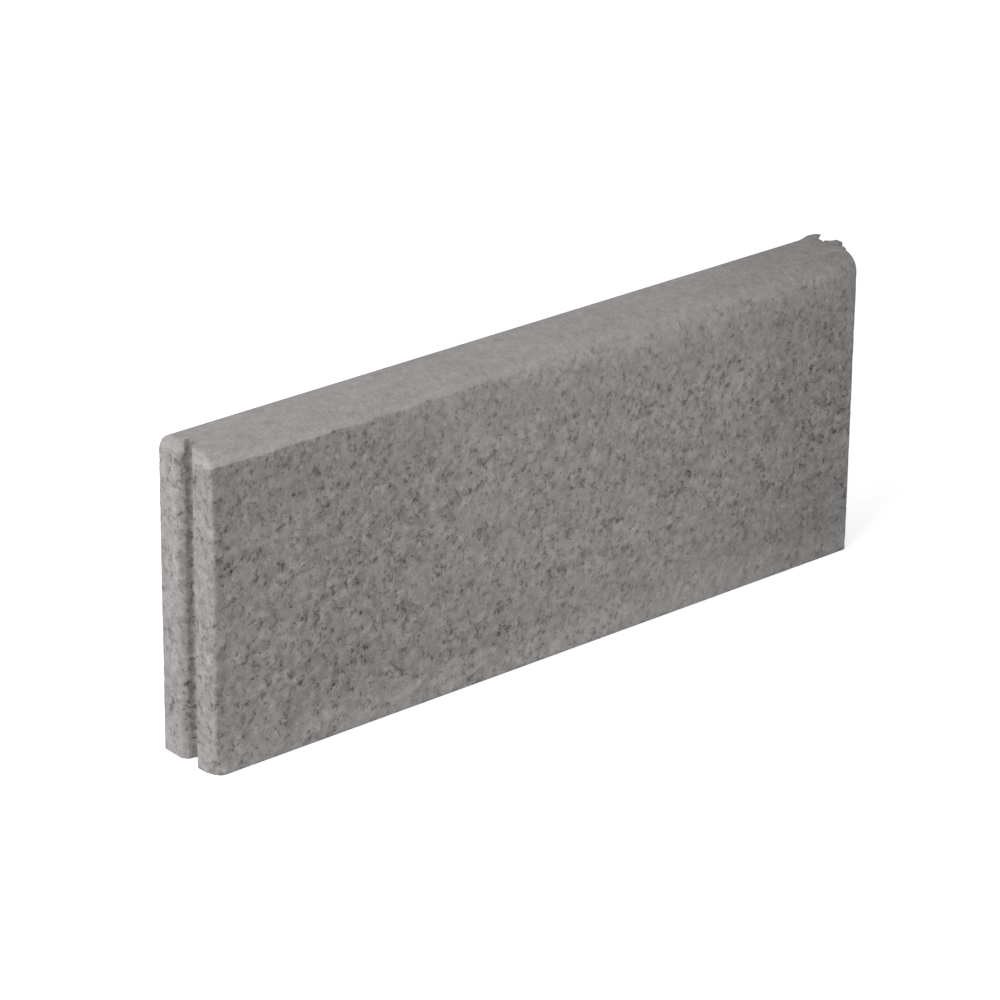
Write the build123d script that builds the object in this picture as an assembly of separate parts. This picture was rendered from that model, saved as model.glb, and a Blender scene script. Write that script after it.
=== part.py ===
"""Concrete kerb stone, 500 x 200 x 50 mm as laid, with a tongue on one end and a groove in the other.

Millimetres. X runs along the laid row, Y through the thickness and Z up.
The origin is on the underside, in the middle of the laid length and of the thickness.
"""

import os

from build123d import *

# Driving dimensions of the block
LAID_LENGTH = 500.0
HEIGHT = 200.0
THICKNESS = 50.0
TOP_EDGE_RADIUS = 12.5
END_ARRIS_RADIUS = 2.5

# Tongue on the +X end, measured in plan: it flares out where it leaves the end face
TONGUE_DEPTH = 7.5
TONGUE_ROOT_WIDTH = 15.0
TONGUE_NECK_WIDTH = 7.4
TONGUE_NECK_DISTANCE = 3.2
TONGUE_TIP_WIDTH = 6.0
TONGUE_NECK_RADIUS = 2.5
TONGUE_TIP_RADIUS = 1.0
TONGUE_TOP_DROP = 1.5
TONGUE_TOP_BEVEL = 1.0

# Room that the groove leaves on each side of a neighbour's tongue, and beyond its tip
LAYING_CLEARANCE = 0.4
GROOVE_LIP_RADIUS = 1.0

# How far a solid to be joined or cut away reaches past the face that it meets
OVERRUN = 5.0

# Edges and corners are picked out by their place, give or take this much
PICK_MARGIN = 0.1

HALF_LENGTH = LAID_LENGTH / 2


def cross_section():
    """The kerb seen along the row: square at the foot, with both top edges rounded."""
    outline = Pos(0, HEIGHT / 2) * Rectangle(THICKNESS, HEIGHT)
    top_corners = outline.vertices().group_by(Axis.Y)[-1]
    return fillet(top_corners, TOP_EDGE_RADIUS)


def block():
    """The section drawn out along the row, with the hard arrises of both end faces eased."""
    end_plane = Plane((-HALF_LENGTH, 0, 0), x_dir=(0, 1, 0), z_dir=(1, 0, 0))
    solid = extrude(end_plane * cross_section(), LAID_LENGTH)
    for side in (Axis.X, -Axis.X):
        end_face = solid.faces().sort_by(side)[-1]
        arrises_above_foot = end_face.edges().sort_by(Axis.Z)[1:]
        solid = fillet(arrises_above_foot, END_ARRIS_RADIUS)
    return solid


def key_outline(clearance):
    """Plan of the key from its root on the Y axis to its tip at +X, with room left all round it."""
    tip = TONGUE_DEPTH + clearance
    root_half = TONGUE_ROOT_WIDTH / 2 + clearance
    neck_half = TONGUE_NECK_WIDTH / 2 + clearance
    tip_half = TONGUE_TIP_WIDTH / 2 + clearance
    upper_side = [
        (tip, tip_half),
        (TONGUE_NECK_DISTANCE, neck_half),
        (0, root_half),
        (-OVERRUN, root_half),
    ]
    lower_side = [(x, -y) for x, y in reversed(upper_side)]
    outline = make_face(Polyline(*lower_side, *upper_side, close=True))
    neck_corners = outline.vertices().filter_by_position(Axis.X, PICK_MARGIN, tip - PICK_MARGIN)
    outline = fillet(neck_corners, TONGUE_NECK_RADIUS)
    tip_corners = outline.vertices().group_by(Axis.X)[-1]
    return fillet(tip_corners, TONGUE_TIP_RADIUS)


def tongue():
    """The key on the +X end. It stops a little below the top, where its edge is bevelled."""
    key = extrude(Pos(HALF_LENGTH, 0) * key_outline(0), HEIGHT - TONGUE_TOP_DROP)
    top_face = key.faces().sort_by(Axis.Z)[-1]
    return chamfer(top_face.edges(), TONGUE_TOP_BEVEL)


def groove():
    """The space at the -X end that takes a neighbour's tongue, open at the top and at the foot."""
    outline = Pos(-HALF_LENGTH, 0) * key_outline(LAYING_CLEARANCE)
    return extrude(Pos(0, 0, -OVERRUN) * outline, HEIGHT + 2 * OVERRUN)


def ease_groove_lips(kerb):
    """Rounds the two upright edges where the groove opens in the -X end face."""
    at_the_end = -HALF_LENGTH - PICK_MARGIN, -HALF_LENGTH + PICK_MARGIN
    reach = TONGUE_ROOT_WIDTH / 2 + LAYING_CLEARANCE + PICK_MARGIN
    uprights = kerb.edges().filter_by(Axis.Z).filter_by_position(Axis.X, *at_the_end)
    lips = uprights.filter_by_position(Axis.Y, -reach, reach)
    return fillet(lips, GROOVE_LIP_RADIUS)


kerb_stone = ease_groove_lips(block() - groove()) + tongue()

os.makedirs("parts", exist_ok=True)
export_step(kerb_stone, "parts/kerb_stone.step")
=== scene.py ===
# %% [markdown]
# # A pressed concrete kerb stone
#
# The object is one casting: a flat block with rounded top edges, a tongue on one end and a groove in the
# other. It is made in factories by shaking damp concrete down into a steel mould, and that leaves three
# kinds of surface. The sides are open and speckled with small pores, the top is smoothed by the press and
# is closer and paler, and the arrises are crisp in some places and crumbled in others.
#
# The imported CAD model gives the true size. It could be shown as it is, but its faces are as flat as glass,
# and only a mesh with many small faces can carry worn arrises and pits. So a new mesh of the same size
# replaces it.

import math

import bmesh
import bpy
from mathutils import Matrix, Vector, noise


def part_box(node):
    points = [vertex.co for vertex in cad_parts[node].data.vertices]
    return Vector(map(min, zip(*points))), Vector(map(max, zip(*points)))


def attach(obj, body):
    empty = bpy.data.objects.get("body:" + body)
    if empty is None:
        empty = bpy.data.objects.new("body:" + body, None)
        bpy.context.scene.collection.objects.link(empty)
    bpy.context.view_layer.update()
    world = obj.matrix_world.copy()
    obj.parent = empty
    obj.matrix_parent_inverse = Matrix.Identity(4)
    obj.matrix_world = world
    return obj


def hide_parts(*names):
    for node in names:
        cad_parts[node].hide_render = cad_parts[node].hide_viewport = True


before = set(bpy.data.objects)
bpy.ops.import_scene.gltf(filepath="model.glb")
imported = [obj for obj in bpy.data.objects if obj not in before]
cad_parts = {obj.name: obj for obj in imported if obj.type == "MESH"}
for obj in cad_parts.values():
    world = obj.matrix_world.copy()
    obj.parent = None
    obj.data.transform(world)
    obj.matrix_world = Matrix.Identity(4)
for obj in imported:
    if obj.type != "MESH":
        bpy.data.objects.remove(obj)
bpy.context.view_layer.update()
low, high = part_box("kerb_stone")
print("CAD box in mm:", [round(1000 * c, 1) for c in (*low, *high)])

# %% [markdown]
# ## Sizes
#
# The frame gives the outer sizes. The origin is in the middle of the laid length, so the groove's end says
# how long the block is, and what is left at the other end is the tongue. The smaller sizes repeat the part's
# own, because a script around the frame can't read the CAD source.

# %% Sizes of the block, in metres
MM = 0.001
HALF_LENGTH = -low.x
HALF_THICKNESS = high.y
HEIGHT = high.z
TONGUE_DEPTH = high.x - HALF_LENGTH
TONGUE_ROOT_HALF = 7.5 * MM
TONGUE_NECK_HALF = 3.7 * MM
TONGUE_TIP_HALF = 3.0 * MM
NECK_DISTANCE = 3.2 * MM
TONGUE_TOP = HEIGHT - 1.5 * MM
LAYING_CLEARANCE = 0.4 * MM
GROOVE_MOUTH_HALF = TONGUE_ROOT_HALF + LAYING_CLEARANCE
GROOVE_NECK_HALF = TONGUE_NECK_HALF + LAYING_CLEARANCE
GROOVE_FLOOR_HALF = TONGUE_TIP_HALF + LAYING_CLEARANCE
GROOVE_DEPTH = TONGUE_DEPTH + LAYING_CLEARANCE
print(f"laid length {2 * HALF_LENGTH / MM:.1f} mm, tongue {TONGUE_DEPTH / MM:.1f} mm")

# %% Radii of its edges
TOP_RADIUS = 12.5 * MM
ARRIS_RADIUS = 2.5 * MM
NECK_RADIUS = 2.5 * MM
TIP_RADIUS = 1.0 * MM
LIP_RADIUS = 1.0 * MM
TONGUE_TOP_BEVEL = 1.0 * MM
FOOT_ARRIS = 0.6 * MM
print(f"top edges {TOP_RADIUS / MM:.1f} mm, arrises {ARRIS_RADIUS / MM:.1f} mm")

# %% [markdown]
# ## The block with its groove
#
# The groove flares out at its mouth and is narrow behind that. It could be cut out with a Boolean, but a plan
# that already has the groove in it needs no cutting: its corners are joined into one face, and that face is
# extruded up to the kerb's height. The outline then runs true from the foot to the top, and every later step
# finds clean edges.

# %% Draw the plan and raise it
block = bmesh.new()
plan_corners = [
    (-HALF_LENGTH, -HALF_THICKNESS),
    (HALF_LENGTH, -HALF_THICKNESS),
    (HALF_LENGTH, HALF_THICKNESS),
    (-HALF_LENGTH, HALF_THICKNESS),
    (-HALF_LENGTH, GROOVE_MOUTH_HALF),
    (-HALF_LENGTH + NECK_DISTANCE, GROOVE_NECK_HALF),
    (-HALF_LENGTH + GROOVE_DEPTH, GROOVE_FLOOR_HALF),
    (-HALF_LENGTH + GROOVE_DEPTH, -GROOVE_FLOOR_HALF),
    (-HALF_LENGTH + NECK_DISTANCE, -GROOVE_NECK_HALF),
    (-HALF_LENGTH, -GROOVE_MOUTH_HALF),
]
plan = bmesh.ops.contextual_create(block, geom=[block.verts.new((x, y, 0)) for x, y in plan_corners])
raised = bmesh.ops.extrude_face_region(block, geom=plan["faces"])
raised_corners = [part for part in raised["geom"] if isinstance(part, bmesh.types.BMVert)]
bmesh.ops.translate(block, verts=raised_corners, vec=(0, 0, HEIGHT))
bmesh.ops.recalc_face_normals(block, faces=block.faces)
print("faces of the plain block:", len(block.faces))

# %% [markdown]
# ## Helpers for finding edges
#
# Bevels and cuts need to know which edges they work on. Each helper asks a plain question about an edge or a
# face, where it is or which way it runs, so no step depends on the numbers that Blender gives to its edges.
# Those numbers can change from run to run, and a later merge of close corners would then come out a little
# different. So the mesh is put in order by the places of its corners after every step.

# %% Find edges by place and direction
AXIS_X, AXIS_Y, AXIS_Z = 0, 1, 2
NEAR = 0.01 * MM
MICRON = 0.001 * MM
PARALLEL = 0.999
SHARP = math.radians(40)


def middle(edge):
    """The point half-way along an edge."""
    return (edge.verts[0].co + edge.verts[1].co) / 2


def runs_along(edge, axis):
    """Whether an edge is parallel to an axis."""
    span = edge.verts[1].co - edge.verts[0].co
    return abs(span[axis]) > PARALLEL * span.length


def whole_microns(point):
    """A place in whole microns, which stays the same whatever order its sums were done in."""
    return tuple(round(c / MICRON) for c in point)


def put_in_order():
    """Builds the mesh anew with its corners and faces in order of place, so every run gives the same one."""
    corners = sorted(block.verts, key=lambda corner: whole_microns(corner.co))
    for number, corner in enumerate(corners):
        corner.index = number
    faces = []
    for face in block.faces:
        numbers = [corner.index for corner in face.verts]
        first = numbers.index(min(numbers))
        faces.append(numbers[first:] + numbers[:first])
    places = [corner.co.copy() for corner in corners]
    block.clear()
    fresh = [block.verts.new(place) for place in places]
    for numbers in sorted(faces):
        block.faces.new([fresh[number] for number in numbers])
    block.normal_update()


def uprights_at(x, y_from, y_to):
    """The full-height edges at one x whose distance from the middle plane lies between two values."""
    return [
        edge
        for edge in block.edges
        if runs_along(edge, AXIS_Z)
        and edge.calc_length() > HEIGHT / 2
        and abs(middle(edge).x - x) < NEAR
        and y_from < abs(middle(edge).y) < y_to
    ]


def round_off(edges, radius, segments):
    """Rolls edges over to a radius. A bevel starts a radius off a square edge, and nearer to a blunt one."""
    half_turn = edges[0].calc_face_angle() / 2
    bmesh.ops.bevel(
        block,
        geom=edges,
        offset=radius * math.tan(half_turn),
        offset_type="OFFSET",
        affect="EDGES",
        segments=segments,
        profile=0.5,
        material=-1,
    )
    put_in_order()


put_in_order()
print("upright edges of the groove's lips:", len(uprights_at(-HALF_LENGTH, 0, HALF_THICKNESS / 2)))

# %% [markdown]
# ## Rounded top edges
#
# The two long top edges of the kerb are rounded so that feet and wheels don't chip them. On the mesh this is
# one bevel with eight segments, which comes before the ends are touched, so that it runs straight through.

# %% Round the long top edges
long_top_edges = [
    edge
    for edge in block.edges
    if runs_along(edge, AXIS_X)
    and middle(edge).z > HEIGHT - NEAR
    and abs(middle(edge).y) > HALF_THICKNESS - NEAR
]
round_off(long_top_edges, TOP_RADIUS, segments=8)
print("long edges rounded:", len(long_top_edges))

# %% [markdown]
# ## The tongue
#
# The tongue fits into the next kerb's groove and keeps the row in line. It grows out of the end face: two
# upright cuts and a level one mark its root there, and the marked patch is extruded and narrowed twice, first
# to the neck and then to the tip. The level cut leaves the tongue a little short of the kerb's top, as the
# CAD model does.

# %% Find, cut and push out faces of the tongue's end
FACING = 0.99
ON_THE_CUT = 1e-7


def end_faces(inside=HALF_THICKNESS, below=HEIGHT):
    """Faces in the plane of the tongue's end whose middle lies within a half width and below a height."""
    found = []
    for face in block.faces:
        centre = face.calc_center_median()
        if face.normal.x > FACING and abs(centre.x - HALF_LENGTH) < NEAR:
            if abs(centre.y) < inside and centre.z < below:
                found.append(face)
    return found


def cut_faces(faces, point, direction):
    """Cuts only the given faces along a plane."""
    parts = dict.fromkeys(faces)
    for face in faces:
        parts.update(dict.fromkeys(face.edges))
        parts.update(dict.fromkeys(face.verts))
    bmesh.ops.bisect_plane(block, geom=list(parts), dist=ON_THE_CUT, plane_co=point, plane_no=direction)
    put_in_order()


def push_out(faces, distance, narrowing):
    """Extrudes faces along the row, narrows their far side and gives it back."""
    grown = bmesh.ops.extrude_face_region(block, geom=faces)["geom"]
    bmesh.ops.delete(block, geom=faces, context="FACES_ONLY")
    corners = [part for part in grown if isinstance(part, bmesh.types.BMVert)]
    bmesh.ops.translate(block, verts=corners, vec=(distance, 0, 0))
    bmesh.ops.scale(block, verts=corners, vec=(1, narrowing, 1))
    return [part for part in grown if isinstance(part, bmesh.types.BMFace)]


print("faces of the end before it is cut:", len(end_faces()))

# %% Grow the tongue out of the end face
for side_of_row in (-1, 1):
    cut_faces(end_faces(), (0, side_of_row * TONGUE_ROOT_HALF, 0), (0, 1, 0))
cut_faces(end_faces(inside=TONGUE_ROOT_HALF), (0, 0, TONGUE_TOP), (0, 0, 1))
root = end_faces(inside=TONGUE_ROOT_HALF, below=TONGUE_TOP)
neck = push_out(root, NECK_DISTANCE, TONGUE_NECK_HALF / TONGUE_ROOT_HALF)
push_out(neck, TONGUE_DEPTH - NECK_DISTANCE, TONGUE_TIP_HALF / TONGUE_NECK_HALF)
put_in_order()
print("open edges after the tongue:", sum(not edge.is_manifold for edge in block.edges))

# %% [markdown]
# ## Eased arrises
#
# Concrete can't hold a knife edge. Each hard edge is rolled over by the radius that its mould gives it: the
# groove's lips and corners, the tongue's tip, the outline of both end faces, and the foot. One Bevel modifier
# would give them all the same radius, so each kind of edge gets a bevel of its own here. The uprights come
# first and the end outlines after them, so that the corners join cleanly.

# %% Ease the uprights of the groove and the tongue
round_off(uprights_at(-HALF_LENGTH, GROOVE_FLOOR_HALF, HALF_THICKNESS - TOP_RADIUS), LIP_RADIUS, segments=2)
for end, depth in ((-HALF_LENGTH, GROOVE_DEPTH), (HALF_LENGTH, TONGUE_DEPTH)):
    round_off(uprights_at(end + NECK_DISTANCE, 0, GROOVE_MOUTH_HALF), NECK_RADIUS, segments=3)
    round_off(uprights_at(end + depth, 0, GROOVE_MOUTH_HALF), TIP_RADIUS, segments=2)
print("faces with the uprights eased:", len(block.faces))

# %% Ease the outlines of both ends
for end in (-HALF_LENGTH, HALF_LENGTH):
    outline = [
        edge
        for edge in block.edges
        if all(abs(corner.co.x - end) < NEAR for corner in edge.verts)
        and max(corner.co.z for corner in edge.verts) > NEAR
        and abs(middle(edge).y) > GROOVE_MOUTH_HALF
        and edge.calc_face_angle() > SHARP
    ]
    round_off(outline, ARRIS_RADIUS, segments=3)
    print(f"edges eased at x = {end / MM:.0f} mm:", len(outline))

# %% Ease the foot and the tongue's top
foot_edges = [
    edge
    for edge in block.edges
    if max(corner.co.z for corner in edge.verts) < NEAR and edge.calc_face_angle() > SHARP
]
round_off(foot_edges, FOOT_ARRIS, segments=1)
tongue_top_edges = [
    edge
    for edge in block.edges
    if abs(middle(edge).z - TONGUE_TOP) < NEAR
    and middle(edge).x > HALF_LENGTH + NEAR
    and edge.calc_face_angle() > SHARP
]
round_off(tongue_top_edges, TONGUE_TOP_BEVEL, segments=2)
print("faces after the bevels:", len(block.faces), "open edges:", sum(not e.is_manifold for e in block.edges))

# %% [markdown]
# ## A fine skin
#
# Pits of two or three millimetres need faces of about that size. Subdividing the large faces would follow
# their odd shapes, and a voxel remesh would soften the lips of the groove. Slicing the whole block along all
# three axes keeps every arris where it is and gives an even grid. Slivers that the cuts leave beside an
# arris are merged, and the few faces with more than four corners are split.

# %% Slice the block into small squares
GRID = 1.85 * MM
SLIVER = 0.3 * MM
ON_THE_SLICE = 1e-6


def slice_along(axis, start, stop):
    """Cuts the whole block into even slices, about one grid step thick."""
    count = round((stop - start) / GRID)
    direction = Vector((0, 0, 0))
    direction[axis] = 1
    for step in range(1, count):
        point = direction * (start + (stop - start) * step / count)
        everything = block.verts[:] + block.edges[:] + block.faces[:]
        bmesh.ops.bisect_plane(
            block, geom=everything, dist=ON_THE_SLICE, plane_co=point, plane_no=direction
        )


slice_along(AXIS_X, low.x, high.x)
slice_along(AXIS_Y, low.y, high.y)
slice_along(AXIS_Z, low.z, high.z)
put_in_order()
bmesh.ops.remove_doubles(block, verts=block.verts, dist=SLIVER)
put_in_order()
bmesh.ops.triangulate(block, faces=[face for face in block.faces if len(face.verts) > 4])
block.normal_update()
triangles = sum(len(face.verts) - 2 for face in block.faces)
print("triangles:", triangles, "open edges:", sum(not edge.is_manifold for edge in block.edges))

# %% [markdown]
# ## Pits, waves and worn arrises
#
# A displacement modifier could push the skin about with one texture, but here each kind of wear belongs to
# its own place: waves and ragged pits on the moulded sides, crumbs off the arrises, hardly anything on the
# pressed top. So each corner of the mesh is moved in code. It only moves inwards, because the mould's walls
# are the most that the concrete can fill. On flat faces it is also pushed a little sideways, which hides the
# grid. The noise functions give the same value at the same place, but noise_vector takes its seed from the
# clock unless one is set. So a seed is set first, and every run gives the same stone.
#
# How deep each corner sits in a pit is stored for the material, which paints shade into the pits where they
# are deep.

# %% Waves and grit, in millimetres
WAVE_LENGTH = 75.0
SIDE_WAVE = 0.15
TOP_WAVE = 0.10
GRIT_LENGTH = 2.3
SIDE_GRIT = 0.16
TOP_GRIT = 0.04
SIDEWAYS = 0.40
NOISE_SEED = 7
noise.seed_set(NOISE_SEED)


def smooth_step(value, start, stop):
    """0 before start, 1 after stop and a soft rise between them."""
    share = min(max((value - start) / (stop - start), 0.0), 1.0)
    return share * share * (3 - 2 * share)


def lumps(place, size):
    """Smooth noise from 0 to 1 with lumps of about one size."""
    return 0.5 + 0.5 * noise.noise(place / size)


def waves_and_grit(place, moulded):
    """How far the skin lies inside the mould's wall, for a share of moulded and pressed surface."""
    wave = TOP_WAVE + (SIDE_WAVE - TOP_WAVE) * moulded
    grit = TOP_GRIT + (SIDE_GRIT - TOP_GRIT) * moulded
    return lumps(place, WAVE_LENGTH) * wave + lumps(place, GRIT_LENGTH) * grit


print("waves and grit at the origin, in mm:", round(waves_and_grit(Vector((0, 0, 0)), 1), 3))

# %% Pits, in millimetres
PIT_SIZES = [
    # spacing of the pits, largest radius, depth, share of places that hold a pit
    (6.5, 2.3, 0.80, 0.50),
    (4.0, 1.5, 0.55, 0.55),
]
PIT_SCATTER = 57.0
SMALLEST_PIT = 0.5
PIT_FLOOR = 0.3
RAGGED_LENGTH = 3.0
RAGGED_REACH = 1.6


def pit_depth(place, spacing, radius, depth, share):
    """How deep the nearest pit is at a place, for pits scattered at random over a spacing."""
    distances, centres = noise.voronoi(place / spacing)
    chance = abs(noise.cell(centres[0] * PIT_SCATTER))
    if chance > share:
        return 0.0
    reach = radius * (SMALLEST_PIT + (1 - SMALLEST_PIT) * chance / share)
    return depth * (1 - smooth_step(distances[0] * spacing, PIT_FLOOR * reach, reach))


def ragged_pit(place):
    """The deepest pit at a place, with its round rim pushed about."""
    ragged = place + noise.noise_vector(place / RAGGED_LENGTH) * RAGGED_REACH
    return max(pit_depth(ragged, *size) for size in PIT_SIZES)


print("pit at the middle of the front, in mm:", round(ragged_pit(Vector((0, -25, 100))), 3))

# %% Crumbs off the arrises, in millimetres
CRUMB_LENGTH = 6.0
CRUMB_DEPTH = 0.22
FINE_CRUMB_LENGTH = 0.4 * CRUMB_LENGTH
FINE_CRUMB_SHARE = 0.5
CRUMBLED_FULLY = 0.8
LEANING = 0.2


def is_arris(normal):
    """Whether a corner lies on a worn edge: its face looks along the row and also sideways, up or down."""
    return abs(normal.x) > LEANING and math.hypot(normal.y, normal.z) > LEANING


def crumbled(place):
    """How deep the crumbs are that an arris has lost at a place."""
    coarse = noise.noise(place / CRUMB_LENGTH)
    fine = noise.noise(place / FINE_CRUMB_LENGTH)
    return CRUMB_DEPTH * smooth_step(coarse + FINE_CRUMB_SHARE * fine, 0.0, CRUMBLED_FULLY)


print("corners on a worn arris:", sum(is_arris(corner.normal) for corner in block.verts))

# %% Move every corner of the skin
PRESSED = (0.25, 0.6)
LOOKS_DOWN = -0.5
FLAT = 0.9995

pit_values = []
moves = []
for corner in block.verts:
    place = corner.co / MM
    normal = corner.normal
    moulded = 1 - smooth_step(normal.z, *PRESSED)
    pit = ragged_pit(place) * moulded
    inwards = waves_and_grit(place, moulded) + pit
    if is_arris(normal):
        inwards += crumbled(place)
    if normal.z < LOOKS_DOWN:
        inwards = 0.0
        pit = 0.0
    move = normal * -inwards
    if max(abs(part) for part in normal) > FLAT:
        sideways = noise.noise_vector(place / GRIT_LENGTH) * SIDEWAYS
        move += sideways - normal * sideways.dot(normal)
    moves.append(move * MM)
    pit_values.append(pit)
for corner, move in zip(block.verts, moves):
    corner.co += move
print("deepest pit in mm:", round(max(pit_values), 2))

# %% [markdown]
# ## The worn foot corner
#
# The foot of the groove end has lost its sharp corner, as happens when a kerb is set down on it. A plane
# could cut the corner off, but that leaves a flat facet. Here the corner is drawn in to an ellipse that
# shrinks upwards, so the worn place is round and runs out into the arris above it.

# %% Wear the foot corner
WORN_ALONG = 8.5 * MM
WORN_ACROSS = 17.0 * MM
WORN_UP_TO = 20.0 * MM
WORN_FULLY_TO = 3.0 * MM

drawn_in = 0
for corner in block.verts:
    wear = 1 - smooth_step(corner.co.z, WORN_FULLY_TO, WORN_UP_TO)
    inside_x = WORN_ALONG * wear - (corner.co.x + HALF_LENGTH)
    inside_y = WORN_ACROSS * wear - (corner.co.y + HALF_THICKNESS)
    if wear > 0 and inside_x > 0 and inside_y > 0:
        outside = math.hypot(inside_x / (WORN_ALONG * wear), inside_y / (WORN_ACROSS * wear))
        if outside > 1:
            corner.co.x += inside_x * (1 - 1 / outside)
            corner.co.y += inside_y * (1 - 1 / outside)
            drawn_in += 1
print("corners of the skin drawn in:", drawn_in)

# %% [markdown]
# ## Flash at the tongue end
#
# At the tongue end, paste was pressed out between the mould and its stamp. A tongue of flash stands out at
# the back of the top and a smaller one beside the tongue, and paste has risen over the tongue's own top. The
# flash could be made as pieces of its own, but it is one with the stone. So a thin layer of the skin is
# pulled out along the row, after it has been lifted to just under the kerb's full height.

# %% Raise the paste and pull out the flash
FLASHES = [
    # middle across the thickness, half its width, how far it is pulled out
    (16.5 * MM, 5.5 * MM, 5.4 * MM),
    (-9.5 * MM, 4.5 * MM, 1.8 * MM),
]
FLASH_THICKNESS = 4.0 * MM
FLASH_LENGTH = 9.0 * MM
BELOW_TOP = 0.1 * MM
RISEN_PASTE = 1.3 * MM
FULL_SHARE = 1 / 3
PAST_ARRIS = ARRIS_RADIUS / 4


def raise_tongue_top(corner):
    """Lifts the top of the tongue by the paste that has risen there."""
    lift = smooth_step(corner.co.z, TONGUE_TOP - FLASH_THICKNESS, TONGUE_TOP - TONGUE_TOP_BEVEL)
    corner.co.z += lift * RISEN_PASTE


def pull_out_flashes(corner):
    """Lifts the skin just under the top and pulls it out where a flash is."""
    under_top = smooth_step(corner.co.z, HEIGHT - FLASH_THICKNESS, HEIGHT - FLASH_THICKNESS * FULL_SHARE)
    near_end = smooth_step(corner.co.x, HALF_LENGTH - FLASH_LENGTH, HALF_LENGTH - ARRIS_RADIUS)
    past_arris = smooth_step(corner.co.x, HALF_LENGTH - ARRIS_RADIUS, HALF_LENGTH - PAST_ARRIS)
    for flash_middle, half_width, reach in FLASHES:
        off_middle = abs(corner.co.y - flash_middle)
        pull = under_top * (1 - smooth_step(off_middle, half_width * FULL_SHARE, half_width))
        corner.co.z += pull * near_end * (HEIGHT - BELOW_TOP - corner.co.z)
        corner.co.x += pull * past_arris * reach


for corner in block.verts:
    if corner.co.x > HALF_LENGTH and abs(corner.co.y) < GROOVE_MOUTH_HALF:
        raise_tongue_top(corner)
    else:
        pull_out_flashes(corner)
flash = [corner for corner in block.verts if corner.co.y > GROOVE_MOUTH_HALF and corner.co.x > HALF_LENGTH]
flash_reach = max(corner.co.x for corner in flash) - HALF_LENGTH
print(f"the flash reaches {flash_reach / MM:.1f} mm beyond the end face")

# %% Make the kerb stone from the mesh
scene = bpy.context.scene
skin = bpy.data.meshes.new("kerb_stone_skin")
block.to_mesh(skin)
block.free()
skin.shade_smooth()
pit_attribute = skin.attributes.new("pit", "FLOAT", "POINT")
pit_attribute.data.foreach_set("value", pit_values)
kerb = bpy.data.objects.new("kerb_stone_cast", skin)
scene.collection.objects.link(kerb)
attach(kerb, "root")
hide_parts("kerb_stone")
print("corners of the kerb stone:", len(skin.vertices))

# %% [markdown]
# ## Shader maths as expressions
#
# A pattern such as a pore is arithmetic on distances and noise. Wiring Math nodes by hand hides that, so a
# small class wraps a node's output and turns +, -, * and / into Math nodes. Every other node comes from one
# method, which takes its type, its settings and what goes into its sockets.


# %% Wrap a shader value
class Shade:
    """One output of a node, used like a number."""

    def __init__(self, tree, socket=None):
        self.tree = tree
        self.socket = socket

    def node(self, kind, settings=None, sockets=None, output=0):
        """Adds a node, sets it up, fills its sockets and gives back one of its outputs."""
        made = self.tree.nodes.new(kind)
        for name, value in (settings or {}).items():
            setattr(made, name, value)
        for name, value in (sockets or {}).items():
            if isinstance(value, Shade):
                self.tree.links.new(value.socket, made.inputs[name])
            else:
                made.inputs[name].default_value = value
        return Shade(self.tree, made.outputs[output] if made.outputs else None)

    def math(self, operation, *values):
        """Adds a Math node on values that are numbers or shades."""
        return self.node("ShaderNodeMath", {"operation": operation}, dict(enumerate(values)))

    def __add__(self, other):
        return self.math("ADD", self, other)

    def __sub__(self, other):
        return self.math("SUBTRACT", self, other)

    def __mul__(self, other):
        return self.math("MULTIPLY", self, other)

    def __truediv__(self, other):
        return self.math("DIVIDE", self, other)

    def __rsub__(self, other):
        return self.math("SUBTRACT", other, self)

    __radd__ = __add__
    __rmul__ = __mul__

    def larger(self, other):
        """The larger of two values."""
        return self.math("MAXIMUM", self, other)

    def rise(self, start, stop):
        """0 before start, 1 after stop and a soft rise between them."""
        sockets = {"Value": self, "From Min": start, "From Max": stop}
        return self.node("ShaderNodeMapRange", {"interpolation_type": "SMOOTHSTEP"}, sockets)

    def swing(self, strength):
        """Turns a pattern from 0 to 1 into one that swings about 0 at a given strength."""
        return (self - 0.5) * strength


# %% [markdown]
# ## Patterns in millimetres
#
# Object coordinates are metres on the real object. Scaled to millimetres they let every pattern be given in
# sizes that can be read off the photograph: pores of one or two millimetres, paste patches of a centimetre,
# slow changes of tone over a hand's width. Photographs of concrete could be laid on instead, but they would
# stretch round the corners, and noise in space runs through the stone as the real grain does.

# %% Measure places on the stone in millimetres
concrete = bpy.data.materials.new("pressed_concrete")
concrete.use_nodes = True
concrete.node_tree.nodes.clear()
shade = Shade(concrete.node_tree)
metres = shade.node("ShaderNodeTexCoord", output="Object")
place_mm = shade.node("ShaderNodeVectorMath", {"operation": "SCALE"}, {0: metres, "Scale": 1 / MM})
length_mm, width_mm, height_mm = (
    shade.node("ShaderNodeSeparateXYZ", sockets={0: place_mm}, output=axis) for axis in "XYZ"
)
from_groove_end = length_mm + HALF_LENGTH / MM
from_middle = width_mm.math("ABSOLUTE", width_mm)
pit = shade.node("ShaderNodeAttribute", {"attribute_name": "pit"}, output="Fac")
print("nodes that say where a place is:", len(concrete.node_tree.nodes))

# %% Noise and hollows
NOISE_ROUGHNESS = 0.55
CENTRE = (0.5, 0.5, 0.5)


def grain(size, detail=0.0, where=place_mm, output=0):
    """Soft noise from 0 to 1 with lumps of about one size, in millimetres."""
    return shade.node(
        "ShaderNodeTexNoise",
        sockets={"Vector": where, "Scale": 1 / size, "Detail": detail, "Roughness": NOISE_ROUGHNESS},
        output=output,
    )


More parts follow.
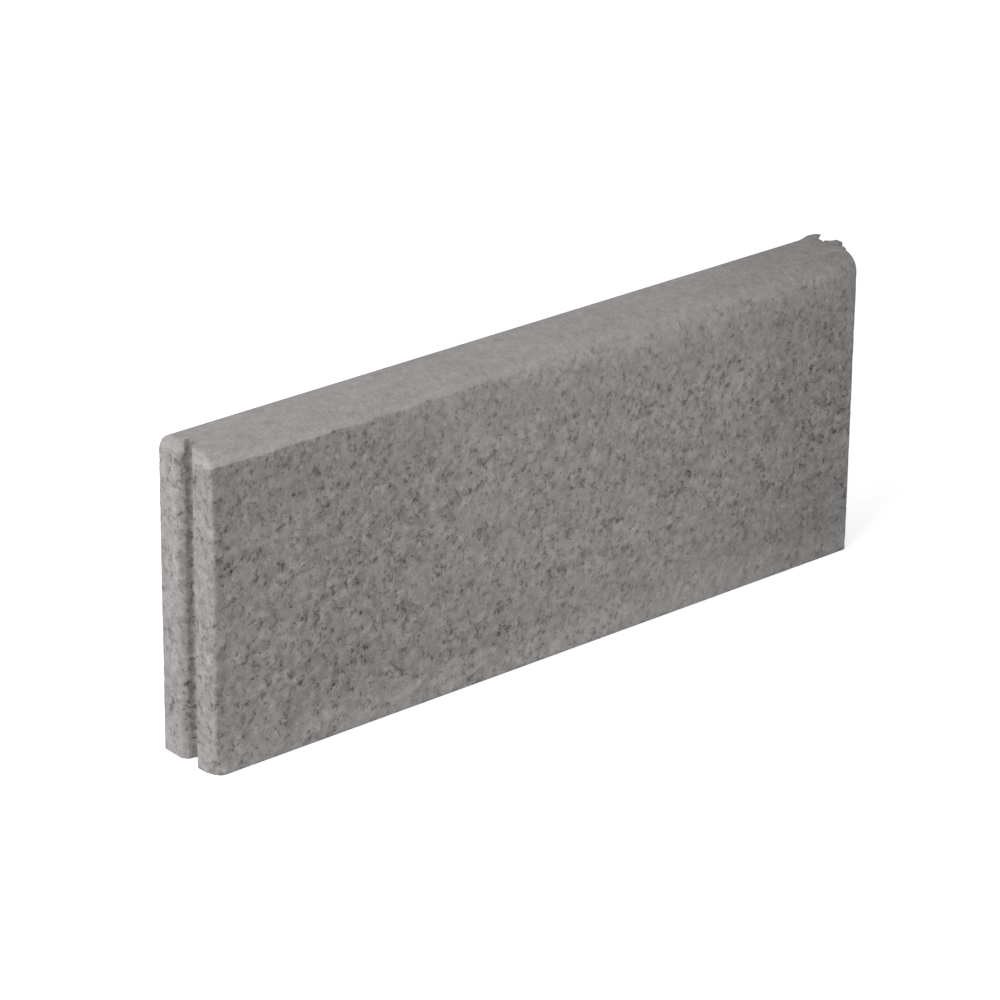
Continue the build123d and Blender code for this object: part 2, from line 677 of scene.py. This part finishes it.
def shifted(size, distance):
    """Places pushed about at random, which makes round lumps ragged."""
    push = grain(size, detail=1.0, output="Color")
    centred = shade.node("ShaderNodeVectorMath", {"operation": "SUBTRACT"}, {0: push, 1: CENTRE})
    return shade.node(
        "ShaderNodeVectorMath",
        {"operation": "MULTIPLY_ADD"},
        {0: centred, 1: (distance, distance, distance), 2: place_mm},
    )


def hollows(size, share, softness):
    """Irregular hollows between lumps of one size, where shade is painted: 1 in a hollow, 0 on the paste."""
    field = grain(size, detail=2.0, where=shifted(size, size))
    return ((share - field) / softness).rise(0.0, 1.0)


patch = grain(size=11.0, detail=1.0)
speck = grain(size=4.5, detail=2.0)
dust = grain(size=1.3)
mottle = grain(size=7.0, detail=2.0)
cloud = grain(size=40.0, detail=1.0)
foot_patch = grain(size=22.0, detail=2.0)
warm_patch = grain(size=24.0, detail=2.0)
print("nodes with the noise:", len(concrete.node_tree.nodes))

# %% [markdown]
# ## Zones of the stone
#
# The stamp that presses the top leaves a smooth band over the rounded edges. Its lower line wanders, and it
# is sharp at the groove end and soft further along. The groove's walls were cast against the mould, so the
# pressed top stops at them. A narrow rim just above the line is paler, and so are the shoulder below it and
# a strip along the foot. Zones could be painted on by hand, but masks made from heights and distances in
# millimetres are as sharp as the stone's own lines and can be moved by changing one number.

# %% The pressed top and its pale rim
STAMP_LINE = 191.5
LINE_WANDERS = 4
LINE_SOFTENS = (150.0, 420.0)
SHARP_LINE = 0.4
SOFTER_LINE = 4
RIM_WIDTH = 3.0
RIM_SOFTNESS = 1.5
WALL_MARGIN = 0.4
WALL_SOFTNESS = 0.6
BEHIND_GROOVE_FLOOR = (8.3, 9.0)
BEHIND_LIP = (0.8, 1.8)
FLARE = (GROOVE_MOUTH_HALF - GROOVE_NECK_HALF) / NECK_DISTANCE

ragged_height = height_mm + mottle.swing(LINE_WANDERS)
blur = SHARP_LINE + from_groove_end.rise(*LINE_SOFTENS) * SOFTER_LINE
groove_half = (GROOVE_MOUTH_HALF / MM - from_groove_end * FLARE).larger(GROOVE_NECK_HALF / MM)
between_walls = (groove_half + WALL_MARGIN - from_middle).rise(0.0, WALL_SOFTNESS)
in_groove = between_walls * (1 - from_groove_end.rise(*BEHIND_GROOVE_FLOOR))
above_line = ((ragged_height - STAMP_LINE) / blur).rise(0.0, 1.0)
top = above_line * (1 - in_groove * from_groove_end.rise(*BEHIND_LIP))
above_rim = ((ragged_height - (STAMP_LINE + RIM_WIDTH)) / (blur + RIM_SOFTNESS)).rise(0.0, 1.0)
rim = top - above_rim
side = 1 - top
print("nodes with the pressed top:", len(concrete.node_tree.nodes))

# %% The shoulder, the foot strip and the end skins
LAID_LENGTH = 2 * HALF_LENGTH / MM
SHOULDER_FROM = 166.0
SHOULDER_GROWS = (30.0, 380.0)
FOOT_STRIP = 19.0
FOOT_SOFTNESS = 7
FOOT_WANDERS = 24
END_SKIN = 3
BEHIND_ARRIS = (1.5, 22.0)

shoulder = height_mm.rise(SHOULDER_FROM, STAMP_LINE) * from_groove_end.rise(*SHOULDER_GROWS)
ragged_foot = height_mm + foot_patch.swing(FOOT_WANDERS)
foot_strip = 1 - ragged_foot.rise(FOOT_STRIP - FOOT_SOFTNESS, FOOT_STRIP + FOOT_SOFTNESS)
far_skin = from_groove_end.rise(LAID_LENGTH - END_SKIN, LAID_LENGTH)
end_skin = far_skin - from_groove_end.rise(0.0, END_SKIN) + 1
behind_arris = from_groove_end.rise(*BEHIND_ARRIS)
print("nodes with all the zones:", len(concrete.node_tree.nodes))

# %% [markdown]
# ## Speckle
#
# Between the grains the paste is darker. Light gets lost in the hollows and pits, so their darkness is
# painted shade. One even pattern of specks would look like printed cloth. On the real stone it is weaker
# where the concrete lies closer: on the end skins, along the far part of the foot, on the shoulder and in the
# upper corner beside the groove. So it is mixed from grains of several sizes and then weakened by zone.

# %% How dark the grains are, and the painted shade of hollows and pits
SMOOTH_PATCHES = (0.40, 0.64)
CROWDING = 0.20
HOLLOW_SOFTNESS = 0.09
SIDE_SPECK = 1.60
SPECK_LOST_IN_PASTE = 0.7
SIDE_DUST = 0.35
SIDE_MOTTLE = 0.5
HOLLOW_PAINTED_SHADE = 0.42
PIT_PAINTED_SHADE = 0.34

smooth_paste = patch.rise(*SMOOTH_PATCHES)
crowding = patch.swing(CROWDING)
small_hollows = hollows(size=3.4, share=0.42 - crowding, softness=HOLLOW_SOFTNESS)
large_hollows = hollows(size=6.0, share=0.375 - crowding, softness=HOLLOW_SOFTNESS)
hollow = small_hollows.larger(large_hollows) * side
grains = speck.swing(SIDE_SPECK - smooth_paste * SPECK_LOST_IN_PASTE)
grains = grains + dust.swing(SIDE_DUST) + mottle.swing(SIDE_MOTTLE)
# The darkening of hollows and pits is painted shade.
speckle_and_pore_shade = grains - hollow * HOLLOW_PAINTED_SHADE - pit * PIT_PAINTED_SHADE
print("nodes with the speckle:", len(concrete.node_tree.nodes))

# %% Where the concrete lies closer
FOOT_CLOSES = (15.0, 60.0)
FOOT_CLOSES_ALONG = (200.0, 400.0)
SHOULDER_CLOSES = (135.0, 185.0)
CORNER_CLOSES = (85.0, 180.0)
CORNER_OPENS_ALONG = (30.0, 115.0)
OPEN_SIDE = 0.95
END_SKIN_CALMS = 0.14
FOOT_CALMS = 0.28
SHOULDER_CALMS = 0.24
CORNER_CALMS = 0.12

closed_foot = (1 - height_mm.rise(*FOOT_CLOSES)) * from_groove_end.rise(*FOOT_CLOSES_ALONG)
closed_shoulder = height_mm.rise(*SHOULDER_CLOSES) * (1 - end_skin)
beside_groove_end = 1 - from_groove_end.rise(*CORNER_OPENS_ALONG)
closed_corner = height_mm.rise(*CORNER_CLOSES) * beside_groove_end * (1 - end_skin)
openness = OPEN_SIDE - end_skin * END_SKIN_CALMS - closed_foot * FOOT_CALMS
openness = openness - closed_shoulder * SHOULDER_CALMS - closed_corner * CORNER_CALMS
print("nodes with the closer zones:", len(concrete.node_tree.nodes))

# %% [markdown]
# ## Slow tones
#
# Tones are set as brightness around one mean, so the mean stays the measured one whatever the pattern does.
# The slow tones are darker towards both ends and paler in its middle, along the foot and under the stamp's
# line, with soft clouds over all of it. The darkening towards the far end, on the side and on the top, is
# painted shade, where the lamp's light falls off along the row. The closed skins of the top and the ends are
# paler than the open side, and just behind the groove end's arris the side starts a little darker.

# %% The tone of each zone
MEAN_TONE = 0.86
PALER_TOWARDS_MIDDLE = (60.0, 280.0)
PALER_MIDDLE_TONE = 0.17
# The far end is darker by painted shade, where the lamp's light falls off along the row.
FAR_END_PAINTED_SHADE = (370.0, 500.0)
FAR_END_SHADE_TONE = 0.20
CLOUD_TONE = 0.22
END_TONE = 0.145
ACROSS_END = (-15.0, 15.0)
ACROSS_END_TONE = 0.08
BEHIND_ARRIS_TONE = 0.08
SHOULDER_TONE = 0.18
FOOT_TONE = 0.17
CORNER_TONE = 0.05

# Paler from the groove end towards the middle, darker at the far end by painted shade, with clouds of tone
# over it.
slow_tone_and_painted_shade = from_groove_end.rise(*PALER_TOWARDS_MIDDLE) * PALER_MIDDLE_TONE * side
slow_tone_and_painted_shade = slow_tone_and_painted_shade - from_groove_end.rise(*FAR_END_PAINTED_SHADE) * FAR_END_SHADE_TONE + cloud.swing(CLOUD_TONE)
end_tone = end_skin * (END_TONE + width_mm.rise(*ACROSS_END) * ACROSS_END_TONE)
side_zones = shoulder * SHOULDER_TONE + foot_strip * FOOT_TONE - closed_corner * CORNER_TONE
side_zones = side_zones + end_tone + behind_arris * BEHIND_ARRIS_TONE
print("nodes with the tones of the side:", len(concrete.node_tree.nodes))

# %% The tone of the pressed top
TOP_SPECK = 0.45
TOP_DUST = 0.4
TOP_MOTTLE = 0.35
RIM_TONE = 0.14
PRESSED_TONE = 0.21
# The top grows darker towards the far end by painted shade, where the lamp's light falls off.
TOP_PAINTED_SHADE = (250.0, 480.0)
TOP_FAR_SHADE_TONE = 0.03

top_tone = speck.swing(TOP_SPECK) + dust.swing(TOP_DUST) + mottle.swing(TOP_MOTTLE)
top_tone = top_tone + rim * RIM_TONE + PRESSED_TONE - from_groove_end.rise(*TOP_PAINTED_SHADE) * TOP_FAR_SHADE_TONE
tone = MEAN_TONE + slow_tone_and_painted_shade + side * (speckle_and_pore_shade * openness + side_zones) + top * top_tone
print("nodes with every tone:", len(concrete.node_tree.nodes))

# %% [markdown]
# ## Colour
#
# The grey of cement is nearly neutral, a touch warm, and the closed skin on the top and the ends leans to
# red by a hair. Three greys of about the same brightness are mixed for that, and the tone then scales the
# mix. A ramp from black to white would be quicker, but its dark places would lose their warmth.

# %% Mix the colour of the concrete
CEMENT = (0.2865, 0.2775, 0.2705, 1)
WARM_CEMENT = (0.2890, 0.2770, 0.2690, 1)
CLOSED_SKIN = (0.2895, 0.2755, 0.2730, 1)
WARM_PATCHES = (0.4, 0.65)
MIX_SHARE, MIX_FIRST, MIX_SECOND, MIX_RESULT = 0, 6, 7, 2


def mix_colours(share, first, second):
    """The first colour at a share of 0, the second at 1."""
    sockets = {MIX_SHARE: share, MIX_FIRST: first, MIX_SECOND: second}
    return shade.node("ShaderNodeMix", {"data_type": "RGBA"}, sockets, MIX_RESULT)


open_grey = mix_colours(warm_patch.rise(*WARM_PATCHES), CEMENT, WARM_CEMENT)
grey = mix_colours(top.larger(end_skin), open_grey, CLOSED_SKIN)
colour = shade.node("ShaderNodeVectorMath", {"operation": "SCALE"}, {0: grey, "Scale": tone})
print("nodes with the colour:", len(concrete.node_tree.nodes))

# %% [markdown]
# ## Hollows and grit as bump
#
# The grid is too coarse for hollows of a millimetre, so a Bump node darkens and lights their rims. It reads
# the same patterns as the colour, and so the two agree.

# %% Finish the material
SIDE_SPECK_RELIEF = 0.9
SPECK_RELIEF = 0.15
SIDE_DUST_RELIEF = 0.25
DUST_RELIEF = 0.1
HOLLOW_RELIEF = 0.6
RELIEF_DEPTH = 0.35 * MM
SIDE_ROUGHNESS = 0.92
TOP_SMOOTHER = 0.12
SPECULAR = 0.3

relief = speck.swing(side * SIDE_SPECK_RELIEF + SPECK_RELIEF)
relief = relief + dust.swing(side * SIDE_DUST_RELIEF + DUST_RELIEF) - hollow * HOLLOW_RELIEF
bump = shade.node("ShaderNodeBump", sockets={"Strength": 1.0, "Distance": RELIEF_DEPTH, "Height": relief})
surface = shade.node(
    "ShaderNodeBsdfPrincipled",
    sockets={
        "Base Color": colour,
        "Roughness": SIDE_ROUGHNESS - top * TOP_SMOOTHER,
        "Specular IOR Level": SPECULAR,
        "Normal": bump,
    },
)
shade.node("ShaderNodeOutputMaterial", sockets={"Surface": surface})
skin.materials.append(concrete)
print("nodes in the concrete:", len(concrete.node_tree.nodes))

# %% [markdown]
# ## Floor and light
#
# The kerb stands on a white studio floor. A lamp box to the left of it and above lights the groove end most
# and the top less, and a white room fills in the rest. The floor could be lit until it is white, but that
# would throw light back onto the stone. So it adds a little light of its own for the camera alone, and still
# shows the stone's shadow.

# %% Build the floor
FLOOR_HALF = 20

floor_mesh = bmesh.new()
bmesh.ops.create_grid(floor_mesh, x_segments=1, y_segments=1, size=FLOOR_HALF)
floor_data = bpy.data.meshes.new("studio_floor")
floor_mesh.to_mesh(floor_data)
floor_mesh.free()
floor = bpy.data.objects.new("studio_floor", floor_data)
scene.collection.objects.link(floor)
print("floor side in metres:", 2 * FLOOR_HALF)

# %% Give the floor its white
FLOOR_COLOUR = (0.8, 0.8, 0.8, 1)
FLOOR_GLOW = 0.55


def seen_directly(maker):
    """1 where the camera, a mirror or glass looks at something, 0 where it only gives light."""
    camera_ray, glossy_ray, glass_ray = (
        maker.node("ShaderNodeLightPath", output=f"Is {kind} Ray")
        for kind in ("Camera", "Glossy", "Transmission")
    )
    return camera_ray.larger(glossy_ray).larger(glass_ray)


white_floor = bpy.data.materials.new("white_floor")
white_floor.use_nodes = True
white_floor.node_tree.nodes.clear()
lit = Shade(white_floor.node_tree)
diffuse = lit.node("ShaderNodeBsdfDiffuse", sockets={"Color": FLOOR_COLOUR})
glow = lit.node("ShaderNodeEmission", sockets={"Strength": seen_directly(lit) * FLOOR_GLOW})
both = lit.node("ShaderNodeAddShader", sockets={0: diffuse, 1: glow})
lit.node("ShaderNodeOutputMaterial", sockets={"Surface": both})
floor_data.materials.append(white_floor)
print("nodes in the floor:", len(white_floor.node_tree.nodes))

# %% Light the room
WHITE = (1, 1, 1, 1)
ROOM_LIGHT = 0.55

room = bpy.data.worlds.new("white_room")
room.use_nodes = True
room.node_tree.nodes.clear()
air = Shade(room.node_tree)
strength = ROOM_LIGHT + seen_directly(air) * (1 - ROOM_LIGHT)
background = air.node("ShaderNodeBackground", sockets={"Color": WHITE, "Strength": strength})
air.node("ShaderNodeOutputWorld", sockets={"Surface": background})
scene.world = room
print("nodes in the room:", len(room.node_tree.nodes))

# %% Hang the lamp box
LAMP_PLACE = Vector((-1.345, -0.360, 1.075))
LAMP_AIM = Vector((0, 0, 0.1))
LAMP_WIDTH = 1.0
LAMP_WATTS = 18.5

lamp_box = bpy.data.lights.new("key_lamp", "AREA")
lamp_box.size = LAMP_WIDTH
lamp_box.energy = LAMP_WATTS
hung = bpy.data.objects.new("key_lamp", lamp_box)
turned = (LAMP_AIM - LAMP_PLACE).to_track_quat("-Z", "Y").to_matrix().to_4x4()
hung.matrix_world = Matrix.Translation(LAMP_PLACE) @ turned
scene.collection.objects.link(hung)
print("lamp to the stone in metres:", round((LAMP_AIM - LAMP_PLACE).length, 2))

# %% [markdown]
# ## Camera
#
# The camera stands where the photograph was taken from, nearly three metres away and well above the kerb. It
# could be moved by eye until the picture looks right, but a few pixels would always be left. So the place and
# the directions come from fitting the block's corners to the photograph, and the lens from the same fit, so
# that the outline falls on the photograph's outline.

# %% Place the camera
CAMERA_PLACE = Vector((-1.6744, -1.9392, 1.2377))
CAMERA_YAW = math.radians(49.492)
CAMERA_PITCH = math.radians(24.033)
CAMERA_ROLL = math.radians(0.622)
PICTURE_SIDE = 1000
FOCAL_PIXELS = 4698.08
SENSOR_WIDTH = 36

forward = Vector(
    (
        math.cos(CAMERA_YAW) * math.cos(CAMERA_PITCH),
        math.sin(CAMERA_YAW) * math.cos(CAMERA_PITCH),
        -math.sin(CAMERA_PITCH),
    )
)
camera_data = bpy.data.cameras.new("camera")
camera_data.sensor_width = SENSOR_WIDTH
camera_data.lens = SENSOR_WIDTH * FOCAL_PIXELS / PICTURE_SIDE
camera = bpy.data.objects.new("camera", camera_data)
aimed = forward.to_track_quat("-Z", "Y").to_matrix() @ Matrix.Rotation(CAMERA_ROLL, 3, "Z")
camera.matrix_world = Matrix.Translation(CAMERA_PLACE) @ aimed.to_4x4()
scene.collection.objects.link(camera)
scene.camera = camera
scene.view_settings.view_transform = "Standard"
print("camera to the origin in metres:", round(CAMERA_PLACE.length, 2))
print("lens in mm:", round(camera_data.lens, 2))
